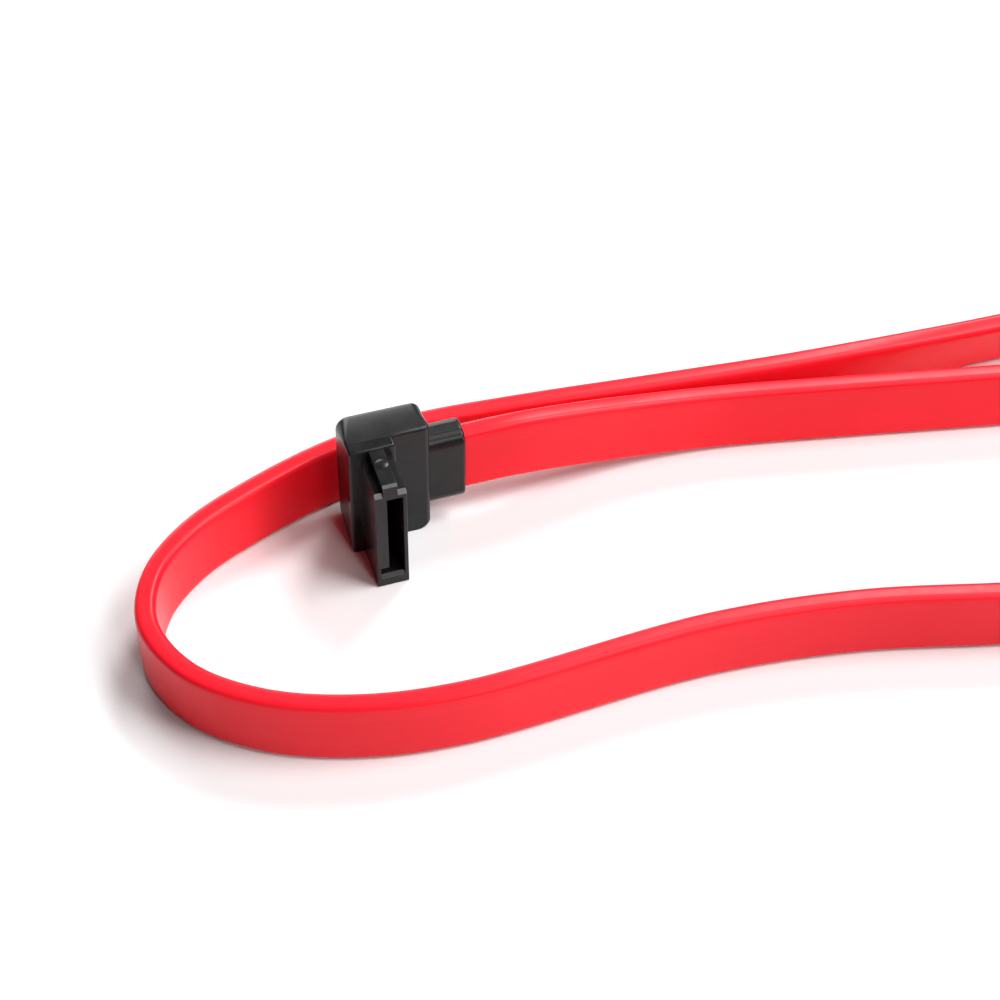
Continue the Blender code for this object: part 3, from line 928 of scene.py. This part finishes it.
def chamber_core():
    """Room for the tails of the contacts and for the wires."""
    front = FLANGE_BACK + GRIP_LONG + POCKET_GAP
    low = (BODY_LEFT + CHAMBER_WALL, front, CHAMBER_END_MARGIN)
    high = (BODY_RIGHT - CHAMBER_WALL, front + CHAMBER_DEEP, PLUG_TALL - CHAMBER_END_MARGIN)
    return finished("chamber", block(low, high))


def passage_core():
    """Room for the cable, from the chamber out through the strain relief."""
    thick = CABLE_THICK + 2 * CABLE_GAP
    wide = CABLE_WIDE + 2 * CABLE_GAP
    hole = rounded_outline(thick, wide, [EDGE_RADIUS + CABLE_GAP] * 4, SECTION_STEPS)
    ends = (BODY_RIGHT - CHAMBER_WALL - PAST_END, RELIEF_END + PAST_END)
    return finished("passage", lofted([[(x, CABLE_Y + y, CABLE_LEVEL + z) for y, z in hole] for x in ends]))


def make_overmould():
    body = combined(make_body(), [make_relief()], "UNION")
    combined(body, [rim_cutter(), pocket_core(), chamber_core(), passage_core()], "DIFFERENCE")
    even_shading(body)
    return body


overmould_a = make_overmould()
overmould_b = at_plug_b(overmould_a)
dressed(overmould_a, black_soft, "soft_black_plastic", "plug_a_overmould")
dressed(overmould_b, black_soft, "soft_black_plastic", "plug_b_overmould")
print("overmould:", len(overmould_a.data.polygons), "faces")

# %% [markdown]
# ## Metals and insulation
#
# The contacts are a copper alloy with a thin gold plating. The strip was rolled before it was
# stamped, so its shine is drawn out along its length. The bare ground wires are tinned, and the
# signal wires have a white skin. Deep in the slot only a glint of the gold is seen, so the
# construction model's own strips are kept and dressed.

# %% Metals and insulation
def metal(name, dark, light, roughness):
    recipe = Recipe(name)
    rolled = recipe.noise(recipe.place((0.2, 0.2, 1)), 24000, 2.0)
    spots = recipe.noise(recipe.place(), 1500, 2.0)
    return recipe.finish(
        base_color=recipe.colours(spots.between(0.3, 0.75), dark, light),
        roughness=roughness + (rolled - 0.5) * 0.2,
        normal=recipe.bump(rolled, 0.15, 0.00001),
        metallic=1.0,
    )


def white_skin():
    recipe = Recipe("white wire insulation")
    clouds = recipe.noise(recipe.place(), 900, 2.0)
    return recipe.finish(
        base_color=recipe.colours(clouds.between(0.3, 0.7), (0.70, 0.70, 0.68), (0.78, 0.78, 0.76)),
        roughness=0.4 + (clouds - 0.5) * 0.1,
        normal=recipe.bump(clouds, 0.1, 0.00002),
    )


gold = metal("gold plating", (0.72, 0.46, 0.15), (0.92, 0.66, 0.27), 0.24)
tinned = metal("tinned copper", (0.60, 0.58, 0.55), (0.78, 0.76, 0.72), 0.3)
white = white_skin()
print("made", gold.name, tinned.name, white.name)

# %% Dress the contacts and wires
GROUND_CONTACTS = (1, 4, 7)
for letter in "ab":
    for number in range(1, CONTACTS + 1):
        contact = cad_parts[f"plug_{letter}_contact_{number}"]
        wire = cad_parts[f"plug_{letter}_wire_{number}"]
        contact.data.materials.clear()
        contact.data.materials.append(gold)
        wire.data.materials.clear()
        wire.data.materials.append(tinned if number in GROUND_CONTACTS else white)
print("contacts and wires dressed")

# %% [markdown]
# ## The pieces on the free cable
#
# Plug B's pieces ride on the free cable's far end, and are gathered here in a list.

on_the_cord = [insulator_b, overmould_b]
on_the_cord += [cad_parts[f"plug_b_contact_{number}"] for number in range(1, CONTACTS + 1)]
on_the_cord += [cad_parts[f"plug_b_wire_{number}"] for number in range(1, CONTACTS + 1)]
[[value * MM for value in sample[:3]] for sample in cable_line]
print("cord declared with", len(on_the_cord), "pieces on it")

# %% [markdown]
# ## Floor
#
# The picture is a bright studio shot on white, so a pale floor stands in for the table. It ends
# where the lights still reach it, because further out it would show as a dark band in a low view.
# It lies a hair below the pieces, so that no face of theirs falls together with it.

# %% Floor
FLOOR_SIZE = 2.4
FLOOR_BELOW = 0.00002


def make_floor():
    recipe = Recipe("white table")
    recipe.finish(base_color=(0.84, 0.845, 0.85), roughness=0.6)
    bm = bmesh.new()
    bmesh.ops.create_grid(bm, x_segments=1, y_segments=1, size=FLOOR_SIZE / 2)
    bmesh.ops.translate(bm, verts=bm.verts, vec=(0, 0, -FLOOR_BELOW))
    floor = finished("floor", bm)
    floor.data.materials.append(recipe.material)
    return floor


make_floor()
print("floor", FLOOR_SIZE, "m wide")


# %% [markdown]
# ## Lights
#
# The picture's light comes mostly from the right. The left side of the loop is dark, the highlights
# lie on the upper edges, and the shadows are soft. The key makes the shadows, the high light the
# sheen on the strain relief, the low front right one the even red of the cable's side, the two at
# the back the glow along its narrow top, and the front one the bright slopes at the nose's mouth.
# Each light is a large disc on a wide circle round the cable, given by its compass direction, its
# height above the table as an angle, its width and its power. The discs are far away, so that the
# table is lit evenly. They are hidden from the camera, because a low view would show them.

# %% Lights
LIGHT_DISTANCE = 2.7
LIGHTS = (
    ("key", -20, 51, 1.7, 74),
    ("high", -10, 77, 1.1, 11),
    ("low front right", -42, 17, 1.0, 20),
    ("low back", 90, 19, 1.5, 36),
    ("back right", 47, 47, 0.9, 43),
    ("front", -77, 41, 0.5, 12),
)
LIGHTS_AIM = Vector((0.02, -0.008, 0.003))


def soft_light(name, compass, height, size, watts):
    turn = math.radians(compass)
    rise = math.radians(height)
    away = Vector((math.cos(rise) * math.cos(turn), math.cos(rise) * math.sin(turn), math.sin(rise)))
    data = bpy.data.lights.new(name, "AREA")
    data.shape = "DISK"
    data.size = size
    data.energy = watts
    light = bpy.data.objects.new(name, data)
    light.location = LIGHTS_AIM + away * LIGHT_DISTANCE
    light.rotation_euler = (-away).to_track_quat("-Z", "Y").to_euler()
    light.visible_camera = False
    bpy.context.scene.collection.objects.link(light)


for settings in LIGHTS:
    soft_light(*settings)
print(len(LIGHTS), "soft lights")

# %% [markdown]
# ## Background
#
# The world is white where the camera looks straight at it, and nearly dark as a light, because
# light from all sides would lie as a pink haze on the red jacket.

# %% World and view
WORLD_AS_LIGHT = 0.02
world = bpy.data.worlds.new("studio")
bpy.context.scene.world = world
world.use_nodes = True
seen = world.node_tree.nodes.new("ShaderNodeLightPath")
strength = world.node_tree.nodes.new("ShaderNodeMapRange")
strength.inputs["To Min"].default_value = WORLD_AS_LIGHT
strength.inputs["To Max"].default_value = 1.0
background = world.node_tree.nodes["Background"]
background.inputs["Color"].default_value = (1, 1, 1, 1)
world.node_tree.links.new(seen.outputs["Is Camera Ray"], strength.inputs["Value"])
world.node_tree.links.new(strength.outputs["Result"], background.inputs["Strength"])
bpy.context.scene.view_settings.view_transform = "Standard"
print("world and view set")
